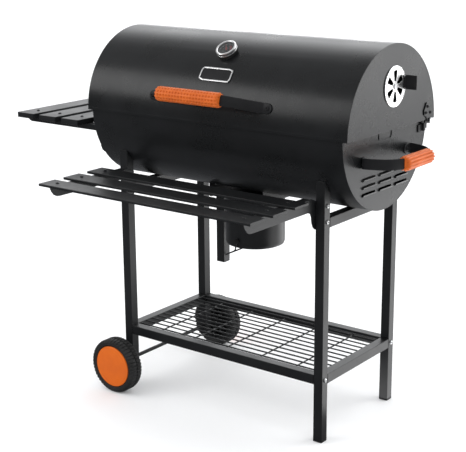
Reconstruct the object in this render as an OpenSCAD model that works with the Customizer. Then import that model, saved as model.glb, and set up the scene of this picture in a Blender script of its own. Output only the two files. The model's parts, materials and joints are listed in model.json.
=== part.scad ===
// Charcoal barrel grill smoker on a two-wheel trolley.
// X runs along the barrel, -Y is the side the cook stands at, Z is up, floor at z = 0.

/* [Barrel] */
// Half length of the lower half
body_half = 386; // [384:1:388]
// Outer radius of the lower half
body_r = 195; // [194:0.5:195]
// Centre of the lower half, front to back
body_y = -7; // [-7:0.5:-6]
// Half length of the lid
lid_half = 400; // [400:1:404]
// Outer radius of the lid
lid_r = 205; // [205:0.5:206]
// Height of the line where the lid meets the lower half
part_z = 768; // [768:1:770]
// Sheet thickness of barrel, plates and slats
sheet = 1.5; // [1.2:0.1:1.5]

/* [Trolley] */
// Side of the square leg tube
tube_w = 25; // [25:0.5:25]
// Wall of the leg tube
tube_t = 1.5; // [1.2:0.1:2]
// Outer face of the legs, left and right of centre
leg_x = 322; // [318:1:324]
// Outer face of the legs, front and back of centre
leg_y = 173; // [172:1:174]
// Underside height of the lower shelf rails
shelf_z = 151; // [148:1:160]
// Wire diameter of the lower shelf
wire_d = 4; // [3:0.5:5]
// Long wires in the lower shelf
long_wires = 12; // [8:1:14]
// Cross wires in the lower shelf
cross_wires = 5; // [3:1:5]

/* [Wheels] */
// Radius of the tyre
wheel_r = 75; // [74:1:76]
// Width of the tyre
wheel_w = 43; // [40:1:44]
// Radius of the axle rod
axle_r = 5; // [4.5:0.5:5]
// Clearance round the axle inside the hub
axle_gap = 0.4; // [0.3:0.05:0.6]

/* [Shelves] */
// Width of a side slat
slat_w = 62; // [58:1:64]
// Depth of the side slat edges
slat_h = 14; // [14:1:14]
// Width of a front slat
front_slat_w = 57; // [54:1:60]
// Depth of the front slat edges
front_slat_h = 6; // [5:1:7]
// Spacing of the slats
slat_pitch = 85; // [80:1:86]
// Top of the front shelf
front_top = 628; // [628:1:628]
// Top of the side shelf
side_top = 732; // [732:1:732]

/* [Handles] */
// Width of the handle straps
strap_w = 26; // [24:1:26]
// Thickness of the handle straps
strap_t = 3; // [3:0.5:3.5]
// Radius of the grips
grip_r = 18; // [17:0.5:19]
// Half length of the lid grip
lid_grip = 104; // [98:1:104]
// Height of the lid grip above the lid skin
lid_rise = 80; // [76:1:82]

/* [Vent and dial] */
// Radius of the damper disc
damper_r = 49; // [46:1:49]
// Height of the damper centre
damper_z = 871.5; // [868:0.5:875]
// Radius of the thermometer bezel
dial_r = 27; // [26:0.5:30]

/* [Ash pot] */
// Outer radius of the ash pot
pot_r = 78; // [74:1:79]
// Underside of the ash pot
pot_z = 425; // [420:1:430]

/* [Hidden] */
$fn = 96;
eps = 0.01;

paint = [0.13, 0.13, 0.14];
orange = [0.85, 0.42, 0.14];
steel = [0.72, 0.72, 0.72];
dark = [0.06, 0.06, 0.07];
iron = [0.2, 0.2, 0.2];

leg_in_x = leg_x - tube_w;
leg_in_y = leg_y - tube_w;
rail_top = shelf_z + tube_w;
axle_x = -(leg_x - tube_w / 2 + 1.5);
left_leg_z = 52;
foot_h = 6;
cope_r = body_r + 0.6;
upper_rail_top = part_z - body_r - 0.2;
bolt_r = 5.5;
bolt_h = 3.5;

front_flange = front_top - front_slat_h;
side_flange = side_top - slat_h;
front_first = -439.5;
front_half = leg_x + 1;
side_first = -652;
side_half = 189;
plate_t = 3;
bracket_x = leg_in_x;
side_y = 150;

lid_gap = 0.4;
hinge_y = 178;
hinge_z = part_z - 2;
hinge_r = 4;
handle_tilt = 16;
grip_n = lid_r + lid_rise;
foot_x = 166;
tab_x = 188;
end_grip_x = 470;
end_grip_half = 64;
end_foot_y = 112;
end_z = 706;
end_y = -7;

thermo_tilt = 54.7;
badge_tilt = 35.4;
vent_slots = 6;
pot_top = 560;
bail_z = 447;
bail_ang = 37;
bail_len = 118;
bail_r = 2;
post_x = -113;

// The overall box is centred on x = 0 and y = 0
x_low = side_first - slat_w / 2 - 1;
x_high = end_grip_x + grip_r;
y_low = front_first - front_slat_w / 2;
y_high = leg_y + 50.3 + wheel_w / 2;
module in_frame() {
  translate([-(x_low + x_high) / 2, -(y_low + y_high) / 2, 0]) children();
}

// Square tube along z with open ends
module post(w, t, h) {
  difference() {
    translate([-w / 2, -w / 2, 0]) cube([w, w, h]);
    translate([-w / 2 + t, -w / 2 + t, -1]) cube([w - 2 * t, w - 2 * t, h + 2]);
  }
}

// Cylinder along x between two stations
module rod_x(x0, x1, y, z, r) {
  translate([x0, y, z]) rotate([0, 90, 0]) cylinder(h = x1 - x0, r = r);
}

// Cylinder along y between two stations
module rod_y(y0, y1, x, z, r) {
  translate([x, y1, z]) rotate([90, 0, 0]) cylinder(h = y1 - y0, r = r);
}

// Domed bolt head whose seat is at the origin, pointing along +z
module bolt_head(r, h) {
  cylinder(h = h * 0.55, r = r);
  translate([0, 0, h * 0.55]) cylinder(h = h * 0.45, r = r * 0.72);
}

// The space the lower half fills, used to cope the leg tops
module body_round(r) {
  rod_x(-body_half - 60, body_half + 60, body_y, part_z, r);
}

module leg(sx, sy, z0) {
  color(paint) in_frame()
  difference() {
    translate([sx * (leg_x - tube_w / 2), sy * (leg_y - tube_w / 2), z0]) post(tube_w, tube_t, part_z - z0 - 60);
    body_round(cope_r);
    if (sx < 0) rod_y(-leg_y - 5, leg_y + 5, axle_x, wheel_r, axle_r + 0.1);
  }
}

module leg_front_right() leg(1, -1, foot_h - 4);
module leg_rear_right() leg(1, 1, foot_h - 4);
module leg_front_left() leg(-1, -1, left_leg_z);
module leg_rear_left() leg(-1, 1, left_leg_z);

// Push-in caps that close the feet of the two standing legs
module foot_caps() {
  plug = tube_w - 2 * tube_t - 0.4;
  color(dark) in_frame()
  for (sy = [-1, 1])
    translate([leg_x - tube_w / 2, sy * (leg_y - tube_w / 2), 0]) {
      translate([-tube_w / 2, -tube_w / 2, 0]) cube([tube_w, tube_w, foot_h - 4]);
      translate([-plug / 2, -plug / 2, 0]) cube([plug, plug, foot_h + 12]);
    }
}

// Tubes the barrel lies on, one at each side between front and rear legs
module upper_rails() {
  color(paint) in_frame()
  for (sx = [-1, 1])
    translate([sx * (leg_x - tube_w / 2), leg_in_y, upper_rail_top - tube_w / 2])
      rotate([90, 0, 0]) post(tube_w, tube_t, 2 * leg_in_y);
}

module shelf_rails_long() {
  color(paint) in_frame()
  for (sy = [-1, 1])
    translate([-leg_in_x, sy * (leg_y - tube_w / 2), shelf_z + tube_w / 2])
      rotate([0, 90, 0]) post(tube_w, tube_t, 2 * leg_in_x);
}

module shelf_rails_side() {
  color(paint) in_frame()
  for (sx = [-1, 1])
    translate([sx * (leg_x - tube_w / 2), leg_in_y, shelf_z + tube_w / 2])
      rotate([90, 0, 0]) post(tube_w, tube_t, 2 * leg_in_y);
}

// Welded wire mat: cross wires carry the long wires
module shelf_wires() {
  r = wire_d / 2;
  z_long = rail_top - 4;
  step_y = 2 * leg_in_y / long_wires;
  step_x = 2 * leg_in_x / (cross_wires + 0.4);
  color(paint) in_frame() {
    for (i = [0 : long_wires - 1])
      rod_x(-leg_in_x + 0.1, leg_in_x - 0.1, -leg_in_y + (i + 0.5) * step_y, z_long, r);
    for (i = [0 : cross_wires - 1])
      rod_y(-leg_in_y + 0.1, leg_in_y - 0.1, (i - (cross_wires - 1) / 2) * step_x, z_long - wire_d + 0.4, r);
  }
}

// Bolt heads on the leg faces: lower shelf rails and shelf brackets
module frame_bolts() {
  color(steel) in_frame()
  for (sx = [-1, 1]) {
    for (sy = [-1, 1])
      translate([sx * leg_x, sy * (leg_y - tube_w / 2), shelf_z + tube_w / 2])
        rotate([0, sx * 90, 0]) bolt_head(bolt_r, bolt_h);
    for (z = [564, 603])
      translate([sx * leg_x, -leg_y + tube_w / 2, z]) rotate([0, sx * 90, 0]) bolt_head(bolt_r, bolt_h);
  }
}

// Plain steel rod through both left legs, carrying the wheels
module axle() {
  color(steel) in_frame()
  rod_y(-leg_y - 66, leg_y + 66, axle_x, wheel_r, axle_r);
}

// Lock nuts that keep the wheels on, inside the hub recess
module axle_nuts() {
  color(steel) in_frame()
  for (sy = [-1, 1])
    translate([axle_x, sy * (leg_y + 60.5), wheel_r]) rotate([90, 0, 0])
      difference() {
        cylinder(h = 6, r = 8.5, center = true, $fn = 6);
        cylinder(h = 8, r = axle_r, center = true);
      }
}

// Sleeves between the leg and the wheel hub
module axle_spacers() {
  color(dark) in_frame()
  for (sy = [-1, 1])
    translate([axle_x, sy * (leg_y + 16), wheel_r]) rotate([90, 0, 0])
      difference() {
        cylinder(h = 31.6, r = 9, center = true);
        cylinder(h = 40, r = axle_r + 0.1, center = true);
      }
}

// Half tube along x; side = 1 keeps the upper half, -1 the lower half
module half_shell(r, t, half, y, side, z_cut) {
  difference() {
    rod_x(-half, half, y, part_z, r);
    rod_x(-half - 1, half + 1, y, part_z, r - t);
    translate([-half - 2, y - r - 2, side > 0 ? z_cut - 2 * r : z_cut]) cube([2 * half + 4, 2 * r + 4, 2 * r]);
  }
}

// Half disc across the barrel, thickness t centred at x
module half_disc(x, t, r, y, side, z_cut) {
  difference() {
    rod_x(x - t / 2, x + t / 2, y, part_z, r);
    translate([x - t, y - r - 2, side > 0 ? z_cut - 2 * r : z_cut]) cube([2 * t, 2 * r + 4, 2 * r]);
  }
}

module body_shell() {
  color(paint) in_frame()
  difference() {
    union() {
      half_shell(body_r, sheet, body_half, body_y, -1, part_z);
      for (sy = [-1, 1])
        translate([-body_half, body_y + sy * (body_r - sheet / 2 - 2) - 2, part_z - 6]) cube([2 * body_half, 4, 6]);
    }
    translate([0, body_y, part_z - body_r - 5]) cylinder(h = 30, r = 48);
  }
}

notch_w = 64;
notch_d = 22;
notch_y = -12;

// Slot for a roasting spit, open at the top of an end plate
module spit_notch(x) {
  translate([x - 5, notch_y - notch_w / 2, part_z - notch_d + 8]) cube([10, notch_w, notch_d]);
  translate([x - 5, notch_y - notch_w / 2 + 8, part_z - notch_d]) cube([10, notch_w - 16, notch_d]);
  for (s = [-1, 1])
    rod_x(x - 5, x + 5, notch_y + s * (notch_w / 2 - 8), part_z - notch_d + 8, 8);
}

// Corner cut-outs of an end plate that clear the folded rim of the shell
module rim_relief(x) {
  for (s = [-1, 1])
    translate([x - 5, body_y + s * (body_r - 1) - 5, part_z - 6.3]) cube([10, 10, 10]);
}

louvre_rows = 3;
louvre_cols = 3;
louvre_len = 59;
louvre_gap = 7;

// Pressed lip under an air slot, on the outside of the right plate
module louvre_hood(y, z) {
  translate([body_half, y - louvre_len / 2, z]) rotate([-90, 0, 0])
    difference() {
      cylinder(h = louvre_len, r = 4.8);
      translate([0, 0, -1]) cylinder(h = louvre_len + 2, r = 3.6);
      translate([-8, -8, -1]) cube([8, 16, louvre_len + 2]);
      translate([-8, -8, -1]) cube([16, 8, louvre_len + 2]);
    }
}

function louvre_y(c) = body_y + 1 + (c - 1) * 76;
function louvre_z(r) = part_z - 104 - r * 18.3;

module body_end_right() {
  x = body_half - sheet / 2 - 0.2;
  color(paint) in_frame() {
    difference() {
      half_disc(x, sheet, body_r - sheet - 0.1, body_y, -1, part_z - 0.3);
      rim_relief(x);
      spit_notch(x);
      for (c = [0 : louvre_cols - 1], r = [0 : louvre_rows - 1])
        translate([x - 5, louvre_y(c) - louvre_len / 2, louvre_z(r) - 3.5]) cube([10, louvre_len, louvre_gap]);
    }
    for (c = [0 : louvre_cols - 1], r = [0 : louvre_rows - 1])
      translate([-0.2, 0, 0]) louvre_hood(louvre_y(c), louvre_z(r));
  }
}

module body_end_left() {
  x = -(body_half - sheet / 2 - 0.2);
  color(paint) in_frame()
  difference() {
    half_disc(x, sheet, body_r - sheet - 0.1, body_y, -1, part_z - 0.3);
    rim_relief(x);
    spit_notch(x);
  }
}

// Blanking plates behind the spit notches
module spit_covers() {
  color(paint) in_frame()
  for (sx = [-1, 1])
    translate([sx * (body_half - sheet - 1.2) - 0.7, notch_y - notch_w / 2 + 8, part_z - notch_d - 10])
      cube([1.4, notch_w + 6, notch_d + 8]);
}

grate_z = part_z - 34;
ledge_w = 18;
grate_half_y = 176;

// Angle ledges along the inside walls that the cooking grates lie on
module grate_ledges() {
  inner = body_r - sheet;
  drop = part_z - grate_z;
  at_y = sqrt(inner * inner - drop * drop);
  color(paint) in_frame()
  for (sy = [-1, 1]) {
    translate([-body_half + 20, body_y + sy * (at_y - ledge_w / 2 - 2) - ledge_w / 2, grate_z - 2])
      cube([2 * body_half - 40, ledge_w, 2]);
    translate([-body_half + 20, body_y + sy * (at_y - 6.2) - 1, grate_z - 16])
      cube([2 * body_half - 40, 2, 14.5]);
  }
}

grate_len = 372;
grate_bars = 25;

// Cooking grate: ring frame of rod with bars along y
module cook_grate(sx) {
  x0 = sx > 0 ? 2 : -2 - grate_len;
  step = grate_len / (grate_bars + 1);
  color(iron) in_frame() {
    for (s = [-1, 1])
      rod_x(x0, x0 + grate_len, body_y + s * (grate_half_y - 10), grate_z + 3.2, 3);
    for (s = [-1, 0, 1])
      rod_x(x0 + 2, x0 + grate_len - 2, body_y + s * 80, grate_z + 3.2, 2.5);
    for (i = [0 : grate_bars + 1])
      rod_y(body_y - grate_half_y, body_y + grate_half_y, min(max(x0 + i * step, x0 + 3), x0 + grate_len - 3),
        grate_z + 7.4, i == 0 || i == grate_bars + 1 ? 3 : 2.2);
  }
}

module cook_grate_left() cook_grate(-1);
module cook_grate_right() cook_grate(1);

tray_z = 622;
tray_half_y = 112;
tray_half_x = 340;

// Charcoal tray: sheet trough with air slots, lifted clear of the barrel floor
module charcoal_tray() {
  color(iron) in_frame()
  difference() {
    union() {
      translate([-tray_half_x, body_y - tray_half_y, tray_z]) cube([2 * tray_half_x, 2 * tray_half_y, 2]);
      for (s = [-1, 1]) {
        translate([-tray_half_x, body_y + s * (tray_half_y - 1) - 1, tray_z]) cube([2 * tray_half_x, 2, 32]);
        translate([s * (tray_half_x - 1) - 1, body_y - tray_half_y, tray_z]) cube([2, 2 * tray_half_y, 32]);
      }
      for (sx = [-1, 1], sy = [-1, 1])
        translate([sx * 290 - 12, body_y + sy * 96 - 1, tray_z - 20.4]) cube([24, 2, 21]);
    }
    for (i = [-7 : 7], sy = [-1, 1])
      translate([i * 44 - 4, body_y + sy * 52 - 42, tray_z - 1]) cube([8, 84, 4]);
  }
}

runner_x = pot_r + 7;

// Runners under the barrel that carry the rim of the ash pot
module pot_runners() {
  color(paint) in_frame()
  for (sx = [-1, 1])
    difference() {
      union() {
        translate([sx * runner_x - 1, body_y - pot_r - 6, pot_top - 5]) cube([2, 2 * pot_r + 12, 40]);
        translate([sx * (runner_x - 3.4) - 2.6, body_y - pot_r - 6, pot_top - 5]) cube([5.2, 2 * pot_r + 12, 1.6]);
      }
      body_round(body_r + 0.1);
    }
}

// Square tube hanging from the barrel beside the pot
module hanger_post() {
  color(paint) in_frame()
  difference() {
    translate([post_x, 0, 352]) post(tube_w, tube_t, 260);
    body_round(cope_r);
  }
}

// Bowed strap in the plane of its thickness: half profile mirrored about y
module end_strap() {
  t = strap_t;
  x0 = body_half;
  half = [[x0 + 0.1, end_foot_y - 26], [x0 + 3.1, end_foot_y - 26], [x0 + 3.1, end_foot_y - 0.4],
    [x0 + 30, end_foot_y - 7], [x0 + 60, end_foot_y - 20], [end_grip_x - t / 2, end_grip_half - 3],
    [end_grip_x - t / 2, -eps], [end_grip_x + t / 2, -eps], [end_grip_x + t / 2, end_grip_half + 1],
    [x0 + 61.5, end_foot_y - 16.4], [x0 + 31, end_foot_y - 3.4], [x0 + 3.5, end_foot_y + 3.2],
    [x0 + 0.1, end_foot_y + 3.2]];
  color(dark) in_frame()
  translate([0, end_y, end_z - strap_w / 2])
    for (m = [0, 1])
      mirror([0, m, 0]) linear_extrude(height = strap_w) polygon(half);
}

// Round grip with a slot for the strap
module grip(half) {
  difference() {
    union() {
      cylinder(h = 2 * half - 6, r = grip_r, center = true);
      cylinder(h = 2 * half, r = grip_r - 3, center = true);
    }
    cube([strap_t + 0.4, strap_w + 0.4, 2 * half + 2], center = true);
  }
}

module end_grip() {
  color(orange) in_frame()
  translate([end_grip_x, end_y, end_z]) rotate([90, 0, 0]) grip(end_grip_half - 4);
}

module end_bolts() {
  color(steel) in_frame()
  for (s = [-1, 1])
    translate([body_half + 3.1, end_y + s * (end_foot_y - 13), end_z]) rotate([0, 90, 0]) bolt_head(bolt_r, bolt_h);
}

// Side plate of the front shelf, profile in the y-z plane, with a flange under the slats
module front_bracket(sx) {
  z1 = front_top - 14;
  prof = [[-456, front_flange], [-456, z1 + 3], [-452, z1 - 6], [-444, z1 - 16], [-434, z1 - 21],
    [-424, z1 - 22], [-204, z1 - 23], [-194, z1 - 27], [-189, z1 - 36], [-187, z1 - 50],
    [-182, z1 - 62], [-174, z1 - 69], [-154, z1 - 69], [-150, z1 - 64], [-150, z1 - 8], [-190, front_flange]];
  translate([sx * (bracket_x - plate_t / 2) - plate_t / 2, 0, 0])
    rotate([90, 0, 90]) linear_extrude(height = plate_t) polygon(prof);
  translate([sx > 0 ? bracket_x - 22 : -bracket_x, -456, front_flange - 3]) cube([22, 262, 3]);
}

module front_brackets() {
  color(paint) in_frame()
  for (sx = [-1, 1]) front_bracket(sx);
}

// Slat: sheet folded down along both long edges and both ends, length along x
module slat(half, w, h) {
  difference() {
    translate([-half, -w / 2, -h]) cube([2 * half, w, h]);
    translate([-half + sheet, -w / 2 + sheet, -h - 1]) cube([2 * (half - sheet), w - 2 * sheet, h + 1 - sheet]);
  }
}

module front_slats() {
  color(paint) in_frame()
  for (i = [0 : 2])
    translate([0, front_first + i * slat_pitch, front_top]) slat(front_half, front_slat_w, front_slat_h);
}

module front_screws() {
  color(dark) in_frame()
  for (i = [0 : 2], sx = [-1, 1])
    translate([sx * (bracket_x - 11), front_first + i * slat_pitch, front_top]) bolt_head(4.5, 2.4);
}

module side_bracket(sy) {
  z1 = side_flange;
  x1 = -body_half;
  prof = [[-684, z1], [-684, z1 - 3], [-676, z1 - 13], [-668, z1 - 16], [x1 - 36, z1 - 16], [x1 - 24, z1 - 20],
    [x1 - 19, z1 - 30], [x1 - 18, z1 - 54], [x1 - 13, z1 - 65], [x1 - 5, z1 - 70], [x1 - 0.1, z1 - 70], [x1 - 0.1, z1]];
  translate([0, body_y + sy * side_y + plate_t / 2, 0])
    rotate([90, 0, 0]) linear_extrude(height = plate_t) polygon(prof);
  translate([-684, sy > 0 ? body_y + side_y - 22 : body_y - side_y, z1 - 3]) cube([684 - body_half - 8, 22, 3]);
  translate([x1 - 3.1, sy > 0 ? body_y + side_y - 20 : body_y - side_y, z1 - 70]) cube([3, 20, 67]);
}

module side_brackets() {
  color(paint) in_frame()
  for (sy = [-1, 1]) side_bracket(sy);
}

module side_slats() {
  color(paint) in_frame()
  for (i = [0 : 2])
    translate([side_first + i * slat_pitch, body_y, side_top]) rotate([0, 0, 90]) slat(side_half, slat_w, slat_h);
}

module side_screws() {
  color(dark) in_frame() {
    for (i = [0 : 2], sy = [-1, 1])
      translate([side_first + i * slat_pitch, body_y + sy * (side_y - 11), side_top]) bolt_head(4.5, 2.4);
    for (z = [side_flange - 52, side_flange - 18], sy = [-1, 1])
      translate([-body_half - 3.1, body_y + sy * (side_y - 11), z]) rotate([0, -90, 0]) bolt_head(bolt_r, bolt_h);
  }
}

// Ear on the end plate of the lower half; carries the hinge pin
module hinge_brackets() {
  color(dark) in_frame()
  for (sx = [-1, 1])
    difference() {
      union() {
        translate([sx > 0 ? body_half : -body_half - 3, hinge_y - 31, part_z - 30]) cube([3, 24, 18]);
        translate([sx > 0 ? body_half : -body_half - 9, hinge_y - 14, part_z - 28]) cube([9, 8, 18]);
        translate([sx > 0 ? body_half + 5 : -body_half - 9, hinge_y - 14, hinge_z - 20]) cube([4, 14, 14]);
        translate([sx > 0 ? body_half + 5 : -body_half - 9, hinge_y - 9, hinge_z - 9]) cube([4, 15, 9]);
        rod_x(sx > 0 ? body_half + 5 : -body_half - 9, sx > 0 ? body_half + 9 : -body_half - 5, hinge_y, hinge_z, 7);
      }
      rod_x(sx > 0 ? body_half + 4 : -body_half - 10, sx > 0 ? body_half + 10 : -body_half - 4, hinge_y, hinge_z, hinge_r);
    }
}

module hinge_pins() {
  color(steel) in_frame()
  for (sx = [-1, 1]) {
    rod_x(sx > 0 ? body_half + 4.6 : -lid_half - 6, sx > 0 ? lid_half + 6 : -body_half - 4.6, hinge_y, hinge_z, hinge_r);
    rod_x(sx > 0 ? lid_half + 4 : -lid_half - 7, sx > 0 ? lid_half + 7 : -lid_half - 4, hinge_y, hinge_z, 6.5);
  }
}

// Lid skin with a folded hem along the front and rear edges
module lid_shell() {
  z0 = part_z + lid_gap;
  color(paint) in_frame()
  difference() {
    union() {
      half_shell(lid_r, sheet, lid_half, 0, 1, z0);
      translate([-lid_half, -lid_r + 0.05, z0]) cube([2 * lid_half, 1.8, 7]);
      translate([-lid_half, lid_r - 1.85, z0]) cube([2 * lid_half, 1.8, 7]);
    }
    on_lid(thermo_tilt) cylinder(h = lid_r + 20, r = 3.3);
  }
}

// End plate of the lid, relieved round the hinge pin
module lid_end(sx) {
  x = sx * (lid_half - sheet / 2 - 0.3);
  difference() {
    half_disc(x, sheet, lid_r - sheet - 0.1, 0, 1, part_z + lid_gap);
    rod_x(x - sheet, x + sheet, hinge_y, hinge_z, hinge_r + 1);
  }
}

// Six wedge openings on a ring, cut through whatever passes there
module wedges(grow, x0, x1) {
  w = 9 + grow;
  for (i = [0 : vent_slots - 1])
    translate([x0, 2, damper_z]) rotate([0, 90, 0]) rotate([0, 0, i * 360 / vent_slots])
      linear_extrude(height = x1 - x0)
        polygon([[12, -3.5], [35, -w], [38 + grow, 3 - w], [38 + grow, w - 3], [35, w], [12, 3.5]]);
}

module lid_end_right() {
  color(paint) in_frame()
  difference() {
    lid_end(1);
    wedges(2, lid_half - 6, lid_half + 3);
    rod_x(lid_half - 6, lid_half + 3, 2, damper_z, 4.2);
  }
}

module lid_end_left() {
  color(paint) in_frame() lid_end(-1);
}

// Three-cornered plates that hang the lid on the hinge pins
module hinge_plates() {
  prof = [[150, part_z + 14], [158, part_z + 10], [hinge_y - 8, hinge_z], [hinge_y + 8, hinge_z],
    [hinge_y + 9, part_z + 10], [186, part_z + 15], [184, part_z + 24], [169, part_z + 44], [160, part_z + 44],
    [148, part_z + 24]];
  color(steel) in_frame()
  for (sx = [-1, 1])
    difference() {
      union() {
        translate([sx > 0 ? lid_half + 0.2 : -lid_half - 2.7, 0, 0])
          rotate([90, 0, 90]) linear_extrude(height = 2.5) polygon(prof);
        rod_x(sx > 0 ? lid_half + 0.2 : -lid_half - 2.7, sx > 0 ? lid_half + 2.7 : -lid_half - 0.2, hinge_y, hinge_z, 8);
      }
      rod_x(sx > 0 ? lid_half - 1 : -lid_half - 4, sx > 0 ? lid_half + 4 : -lid_half + 1, hinge_y, hinge_z, hinge_r + 0.3);
    }
}

module hinge_bolts() {
  color(dark) in_frame()
  for (sx = [-1, 1], p = [[165, 34], [157, 19], [179, 17.5]])
    translate([sx * (lid_half + 2.7), p[0], part_z + p[1]]) rotate([0, sx * 90, 0]) bolt_head(4, 3);
}

// Places children on the lid skin: local z points out, tilt is measured up from the front
module on_lid(tilt) {
  translate([0, 0, part_z]) rotate([90 - tilt, 0, 0]) children();
}

// Bowed strap, feet flat on the lid
module lid_strap() {
  n0 = lid_r + 0.3;
  n1 = grip_n;
  t = strap_t;
  half = [[-eps, n1 - t / 2], [lid_grip - 8, n1 - t / 2], [lid_grip + 6, n1 - 8], [foot_x - 14, n0 + 10],
    [foot_x, n0], [tab_x, n0], [tab_x, n0 + t], [foot_x + 2, n0 + t], [foot_x - 11, n0 + 12.5],
    [lid_grip + 9, n1 - 5.6], [lid_grip - 6, n1 + t / 2], [-eps, n1 + t / 2]];
  color(dark) in_frame()
  on_lid(handle_tilt)
    rotate([90, 0, 0]) translate([0, 0, -strap_w / 2])
      for (m = [0, 1]) mirror([m, 0, 0]) linear_extrude(height = strap_w) polygon(half);
}

module lid_grip_bar() {
  color(orange) in_frame()
  on_lid(handle_tilt)
    translate([0, 0, grip_n]) rotate([0, 90, 0]) grip(lid_grip - 9);
}

module lid_bolts() {
  color(steel) in_frame()
  on_lid(handle_tilt)
    for (s = [-1, 1]) translate([s * (tab_x - 11), 0, lid_r + 0.3 + strap_t]) bolt_head(bolt_r, bolt_h);
}

// Plain plate curved to the lid, with a raised rim and no lettering
module badge_plate() {
  color(steel) in_frame()
  on_lid(badge_tilt)
    intersection() {
      rotate([0, 90, 0]) difference() {
        cylinder(h = 120, r = lid_r + 1.8, center = true);
        cylinder(h = 122, r = lid_r + 0.1, center = true);
      }
      translate([0, 0, lid_r - 12]) linear_extrude(height = 30) {
        square([96 - 12, 37], center = true);
        square([96, 37 - 12], center = true);
        for (sx = [-1, 1], sy = [-1, 1]) translate([sx * 42, sy * 12.5]) circle(r = 6);
      }
    }
}

dial_n = lid_r + 9;

// Cup under the dial, curved to sit on the lid
module thermo_housing() {
  color(dark) in_frame()
  on_lid(thermo_tilt)
    difference() {
      translate([0, 0, lid_r - 6]) cylinder(h = dial_n - lid_r + 12, r = dial_r - 2);
      translate([0, 0, dial_n + 1]) cylinder(h = 20, r = dial_r - 4);
      rotate([0, 90, 0]) cylinder(h = 120, r = lid_r + 0.1, center = true);
      cylinder(h = dial_n + 20, r = 3.4);
    }
}

module thermo_bezel() {
  color(steel) in_frame()
  on_lid(thermo_tilt)
    translate([0, 0, dial_n - 1]) rotate_extrude()
      polygon([[dial_r - 1.9, 0], [dial_r, 0], [dial_r, 8], [dial_r - 1.5, 10], [dial_r - 5, 10], [dial_r - 5, 8.2],
        [dial_r - 1.9, 7.1]]);
}

module thermo_dial() {
  color(dark) in_frame()
  on_lid(thermo_tilt)
    translate([0, 0, dial_n + 1]) difference() {
      cylinder(h = 1, r = dial_r - 4.1);
      translate([0, 0, -1]) cylinder(h = 4, r = 1.6);
    }
}

module thermo_glass() {
  color([0.8, 0.85, 0.9, 0.4]) in_frame()
  on_lid(thermo_tilt)
    translate([0, 0, dial_n + 6.3]) cylinder(h = 0.7, r = dial_r - 4.3);
}

// Probe and nut inside the lid
module thermo_stem() {
  color(steel) in_frame()
  on_lid(thermo_tilt) {
    translate([0, 0, lid_r - 78]) cylinder(h = dial_n - lid_r + 78, r = 3);
    translate([0, 0, lid_r - sheet - 7]) difference() {
      cylinder(h = 5, r = 9, $fn = 6);
      translate([0, 0, -1]) cylinder(h = 7, r = 2.9);
    }
  }
}

module thermo_pointer() {
  color([0.7, 0.1, 0.08]) in_frame()
  on_lid(thermo_tilt)
    translate([0, 0, dial_n + 3]) rotate([0, 0, 125]) {
      cylinder(h = 1.4, r = 3);
      translate([0, 0, -2.7]) cylinder(h = 2.8, r = 1.2);
      linear_extrude(height = 1) polygon([[-6, -1.3], [19, -0.35], [19, 0.35], [-6, 1.3]]);
    }
}

// Rivet the damper turns on
module damper_rivet() {
  color(steel) in_frame() {
    rod_x(lid_half - 4, lid_half + 3, 2, damper_z, 4);
    rod_x(lid_half + 2, lid_half + 4, 2, damper_z, 7);
    rod_x(lid_half - 5.4, lid_half - 2.4, 2, damper_z, 7);
  }
}

module damper_disc() {
  color(steel) in_frame()
  difference() {
    rod_x(lid_half + 0.3, lid_half + 1.7, 2, damper_z, damper_r);
    wedges(0, lid_half - 2, lid_half + 5);
    rod_x(lid_half - 2, lid_half + 5, 2, damper_z, 4.3);
  }
}

// Finger tab standing out from the rim of the damper
module damper_tab() {
  color(dark) in_frame() {
    translate([lid_half + 1.8, damper_r - 1, damper_z - 12]) cube([31, 3, 34]);
    translate([lid_half + 1.8, damper_r - 7, damper_z - 8]) cube([2, 8, 25]);
  }
}

// Tyre standing in a vertical plane; y is the middle of the tread
module tyre(y) {
  w = wheel_w / 2;
  color(dark) in_frame()
  translate([axle_x, y, wheel_r]) rotate([90, 0, 0]) rotate_extrude()
    polygon([[58, -w + 3], [62, -w], [wheel_r - 6, -w], [wheel_r - 1.5, -w + 4], [wheel_r, -w + 9], [wheel_r, -4],
      [wheel_r - 2.5, -3], [wheel_r - 2.5, 3], [wheel_r, 4], [wheel_r, w - 9], [wheel_r - 1.5, w - 4],
      [wheel_r - 6, w], [62, w], [58, w - 3]]);
}

// Wheel core: hub, web and ribs; out = -1 faces the front, 1 the back
module core(y, out) {
  w = wheel_w / 2;
  color(dark) in_frame()
  translate([axle_x, y, wheel_r]) rotate([90, 0, 0])
    difference() {
      union() {
        difference() {
          cylinder(h = wheel_w - 8, r = 57.9, center = true);
          cylinder(h = wheel_w, r = 51, center = true);
        }
        cylinder(h = wheel_w - 8, r = 15, center = true);
        translate([0, 0, -out * 6]) cylinder(h = 3, r = 52, center = true);
        for (i = [0 : 7]) rotate([0, 0, i * 45]) translate([12, -2, -(w - 4)]) cube([40, 4, wheel_w - 8]);
      }
      cylinder(h = wheel_w + 2, r = axle_r + axle_gap, center = true);
      translate([0, 0, -out * (w - 4)]) cylinder(h = 22, r = 10.5, center = true);
    }
}

// Domed cover disc on the outer face of the wheel
module cap(y, out) {
  w = wheel_w / 2;
  color(orange) in_frame()
  translate([axle_x, y + out * (w - 3.9), wheel_r]) rotate([-out * 90, 0, 0]) rotate_extrude()
    polygon([[0, 0], [57, 0], [57, 1.6], [54, 3.4], [30, 3.8], [0, 3.8]]);
}

wheel_y = leg_y + 50.3;
module tyre_front() tyre(-wheel_y);
module tyre_rear() tyre(wheel_y);
module core_front() core(-wheel_y, -1);
module core_rear() core(wheel_y, 1);
module cap_front() cap(-wheel_y, -1);
module cap_rear() cap(wheel_y, 1);

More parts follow.
